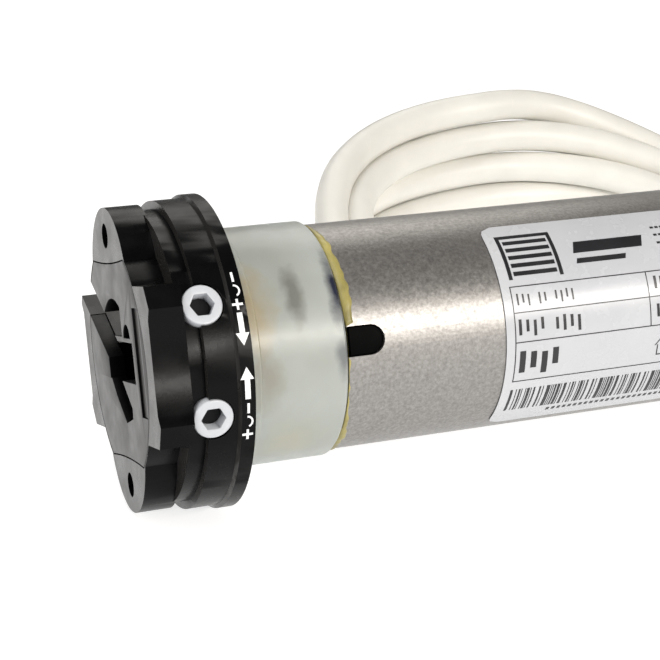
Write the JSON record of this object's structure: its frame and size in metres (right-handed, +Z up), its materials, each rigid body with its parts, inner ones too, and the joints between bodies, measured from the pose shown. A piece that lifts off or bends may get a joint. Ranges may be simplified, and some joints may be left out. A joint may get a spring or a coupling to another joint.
{
  "type": "tubular roller shutter motor",
  "caption": "Slim steel-tube motor with a black mounting head, translucent limit ring and coiled mains lead, for driving a roller shutter or awning shaft from inside.",
  "frame": {"origin": "on the resting surface, midway along the motor from the head's front face to the output shaft's end, under the motor's axis", "axes": "+X along the motor's axis from the mounting head to the output shaft, +Z up; the limit screws face -Y and the lead lies on the +Y side"},
  "size_m": [0.462, 0.1768, 0.0612],
  "materials": {
    "black_plastic": "moulded, semi-gloss",
    "dark_plastic": "moulded, matt",
    "white_plastic": "moulded nylon",
    "milky_plastic": "translucent milky nylon",
    "yellow_plastic": "acetal",
    "blue_plastic": "moulded, matt",
    "tube_steel": "galvanised and drawn, satin",
    "bright_steel": "turned and ground",
    "dark_steel": "stamped laminations, oiled",
    "sintered": "sintered",
    "aluminium": "die cast",
    "copper": "enamelled copper wire, varnished",
    "lining": "friction lining",
    "paper": "printed film, gloss",
    "white_pvc": "flexible PVC, satin",
    "black_rubber": "moulded rubber",
    "brown_pvc": "flexible PVC",
    "black_pvc": "flexible PVC",
    "blue_pvc": "flexible PVC",
    "earth_pvc": "flexible PVC, green and yellow"
  },
  "bodies": {
    "motor_body": {"head_body": "black_plastic", "head_cover": "black_plastic", "core_plug": "black_plastic", "motor_tube": "tube_steel", "rating_label": "paper", "capacitor": "dark_plastic", "end_shield_front": "aluminium", "bearing_front": "bright_steel", "winding_front": "copper", "stator_core": "dark_steel", "winding_rear": "copper", "end_shield_rear": "aluminium", "bearing_rear": "bright_steel", "brake_housing": "aluminium", "gear_ring": "sintered", "output_housing": "aluminium", "output_bush": "sintered", "end_cap": "black_plastic", "tube_screw_1": "bright_steel", "tube_screw_2": "bright_steel", "limit_switch_up": "blue_plastic", "limit_switch_down": "blue_plastic", "cable_strain_relief": "black_rubber", "cable_lead": "white_pvc", "cable_coil": "white_pvc", "cable_tail": "white_pvc", "core_brown": "brown_pvc", "core_black": "black_pvc", "core_blue": "blue_pvc", "core_earth": "earth_pvc"},
    "adjuster_up": {"limit_screw_up": "white_plastic"},
    "adjuster_down": {"limit_screw_down": "white_plastic"},
    "drive_ring": {"limit_ring": "milky_plastic"},
    "counter_shaft_up": {"limit_pinion_up": "yellow_plastic"},
    "counter_disc_up_a": {"limit_disc_up_a": "yellow_plastic"},
    "counter_disc_up_b": {"limit_disc_up_b": "yellow_plastic"},
    "counter_shaft_down": {"limit_pinion_down": "yellow_plastic"},
    "counter_disc_down_a": {"limit_disc_down_a": "yellow_plastic"},
    "counter_disc_down_b": {"limit_disc_down_b": "yellow_plastic"},
    "switch_lever_up": {"limit_lever_up": "white_plastic"},
    "switch_lever_down": {"limit_lever_down": "white_plastic"},
    "brake_armature": {"brake_plate": "dark_steel", "brake_spring": "bright_steel"},
    "rotor": {"rotor_core": "dark_steel", "rotor_shaft": "bright_steel", "brake_disc": "lining"},
    "gear_carrier_1": {"carrier_1": "bright_steel"},
    "planet_gear_1a": {"planet_1_a": "sintered"},
    "planet_gear_1b": {"planet_1_b": "sintered"},
    "planet_gear_1c": {"planet_1_c": "sintered"},
    "gear_carrier_2": {"carrier_2": "bright_steel"},
    "planet_gear_2a": {"planet_2_a": "sintered"},
    "planet_gear_2b": {"planet_2_b": "sintered"},
    "planet_gear_2c": {"planet_2_c": "sintered"},
    "gear_carrier_3": {"carrier_3": "bright_steel", "output_shaft": "bright_steel", "circlip": "dark_steel"},
    "planet_gear_3a": {"planet_3_a": "sintered"},
    "planet_gear_3b": {"planet_3_b": "sintered"},
    "planet_gear_3c": {"planet_3_c": "sintered"}
  },
  "joints": [
    {"name": "limit_screw_up_turn", "type": "hinge", "parent": "motor_body", "child": "adjuster_up", "pos_m": [-0.2208, -0.02021, 0.04531], "axis": [0, -0.8085, 0.5885], "continuous": true},
    {"name": "limit_screw_down_turn", "type": "hinge", "parent": "motor_body", "child": "adjuster_down", "pos_m": [-0.2208, -0.02492, 0.02862], "axis": [0, -0.9968, -0.0793], "continuous": true},
    {"name": "limit_ring_turn", "type": "hinge", "parent": "motor_body", "child": "drive_ring", "pos_m": [-0.203, 0, 0.0306], "axis": [1, 0, 0], "continuous": true},
    {"name": "limit_pinion_up_turn", "type": "hinge", "parent": "motor_body", "child": "counter_shaft_up", "pos_m": [-0.206, -0.01075, 0.04163], "axis": [1, 0, 0], "continuous": true},
    {"name": "limit_disc_up_a_turn", "type": "hinge", "parent": "motor_body", "child": "counter_disc_up_a", "pos_m": [-0.203, 0, 0.0306], "axis": [1, 0, 0], "continuous": true},
    {"name": "limit_disc_up_b_turn", "type": "hinge", "parent": "motor_body", "child": "counter_disc_up_b", "pos_m": [-0.203, 0, 0.0306], "axis": [1, 0, 0], "continuous": true},
    {"name": "limit_pinion_down_turn", "type": "hinge", "parent": "motor_body", "child": "counter_shaft_down", "pos_m": [-0.206, -0.01493, 0.02681], "axis": [1, 0, 0], "continuous": true},
    {"name": "limit_disc_down_a_turn", "type": "hinge", "parent": "motor_body", "child": "counter_disc_down_a", "pos_m": [-0.198, 0, 0.0306], "axis": [1, 0, 0], "continuous": true},
    {"name": "limit_disc_down_b_turn", "type": "hinge", "parent": "motor_body", "child": "counter_disc_down_b", "pos_m": [-0.198, 0, 0.0306], "axis": [1, 0, 0], "continuous": true},
    {"name": "limit_lever_up_tilt", "type": "hinge", "parent": "motor_body", "child": "switch_lever_up", "pos_m": [-0.202, 0.01013, 0.04219], "axis": [-1, 0, 0], "range_deg": [0, 4]},
    {"name": "limit_lever_down_tilt", "type": "hinge", "parent": "motor_body", "child": "switch_lever_down", "pos_m": [-0.198, -0.00471, 0.04525], "axis": [-1, 0, 0], "range_deg": [0, 4]},
    {"name": "brake_plate_slide", "type": "slide", "parent": "motor_body", "child": "brake_armature", "axis": [1, 0, 0], "range_m": [0, 0.0006]},
    {"name": "rotor_spin", "type": "hinge", "parent": "motor_body", "child": "rotor", "pos_m": [-0.024, 0, 0.0306], "axis": [1, 0, 0], "continuous": true},
    {"name": "carrier_1_spin", "type": "hinge", "parent": "motor_body", "child": "gear_carrier_1", "pos_m": [0.082, 0, 0.0306], "axis": [1, 0, 0], "continuous": true},
    {"name": "planet_1_a_spin", "type": "hinge", "parent": "gear_carrier_1", "child": "planet_gear_1a", "pos_m": [0.082, 0.01112, 0.02746], "axis": [1, 0, 0], "continuous": true},
    {"name": "planet_1_b_spin", "type": "hinge", "parent": "gear_carrier_1", "child": "planet_gear_1b", "pos_m": [0.082, -0.00284, 0.04179], "axis": [1, 0, 0], "continuous": true},
    {"name": "planet_1_c_spin", "type": "hinge", "parent": "gear_carrier_1", "child": "planet_gear_1c", "pos_m": [0.082, -0.00827, 0.02254], "axis": [1, 0, 0], "continuous": true},
    {"name": "carrier_2_spin", "type": "hinge", "parent": "motor_body", "child": "gear_carrier_2", "pos_m": [0.103, 0, 0.0306], "axis": [1, 0, 0], "continuous": true},
    {"name": "planet_2_a_spin", "type": "hinge", "parent": "gear_carrier_2", "child": "planet_gear_2a", "pos_m": [0.103, 0.01112, 0.02746], "axis": [1, 0, 0], "continuous": true},
    {"name": "planet_2_b_spin", "type": "hinge", "parent": "gear_carrier_2", "child": "planet_gear_2b", "pos_m": [0.103, -0.00284, 0.04179], "axis": [1, 0, 0], "continuous": true},
    {"name": "planet_2_c_spin", "type": "hinge", "parent": "gear_carrier_2", "child": "planet_gear_2c", "pos_m": [0.103, -0.00827, 0.02254], "axis": [1, 0, 0], "continuous": true},
    {"name": "output_spin", "type": "hinge", "parent": "motor_body", "child": "gear_carrier_3", "pos_m": [0.127, 0, 0.0306], "axis": [1, 0, 0], "continuous": true},
    {"name": "planet_3_a_spin", "type": "hinge", "parent": "gear_carrier_3", "child": "planet_gear_3a", "pos_m": [0.127, 0.01112, 0.02746], "axis": [1, 0, 0], "continuous": true},
    {"name": "planet_3_b_spin", "type": "hinge", "parent": "gear_carrier_3", "child": "planet_gear_3b", "pos_m": [0.127, -0.00284, 0.04179], "axis": [1, 0, 0], "continuous": true},
    {"name": "planet_3_c_spin", "type": "hinge", "parent": "gear_carrier_3", "child": "planet_gear_3c", "pos_m": [0.127, -0.00827, 0.02254], "axis": [1, 0, 0], "continuous": true}
  ],
  "couplings": [
    {"joint": "limit_pinion_up_turn", "follows": "limit_ring_turn", "ratio": 3.75},
    {"joint": "limit_disc_up_a_turn", "follows": "limit_ring_turn", "ratio": -0.83333},
    {"joint": "limit_disc_up_b_turn", "follows": "limit_ring_turn", "ratio": -0.85714},
    {"joint": "limit_pinion_down_turn", "follows": "limit_ring_turn", "ratio": 3.75},
    {"joint": "limit_disc_down_a_turn", "follows": "limit_ring_turn", "ratio": -0.83333},
    {"joint": "limit_disc_down_b_turn", "follows": "limit_ring_turn", "ratio": -0.85714},
    {"joint": "carrier_1_spin", "follows": "rotor_spin", "ratio": 0.18182},
    {"joint": "planet_1_a_spin", "follows": "rotor_spin", "ratio": -0.46753},
    {"joint": "planet_1_b_spin", "follows": "rotor_spin", "ratio": -0.46753},
    {"joint": "planet_1_c_spin", "follows": "rotor_spin", "ratio": -0.46753},
    {"joint": "carrier_2_spin", "follows": "rotor_spin", "ratio": 0.033058},
    {"joint": "planet_2_a_spin", "follows": "rotor_spin", "ratio": -0.085006},
    {"joint": "planet_2_b_spin", "follows": "rotor_spin", "ratio": -0.085006},
    {"joint": "planet_2_c_spin", "follows": "rotor_spin", "ratio": -0.085006},
    {"joint": "output_spin", "follows": "rotor_spin", "ratio": 0.0060105},
    {"joint": "planet_3_a_spin", "follows": "rotor_spin", "ratio": -0.015456},
    {"joint": "planet_3_b_spin", "follows": "rotor_spin", "ratio": -0.015456},
    {"joint": "planet_3_c_spin", "follows": "rotor_spin", "ratio": -0.015456}
  ]
}
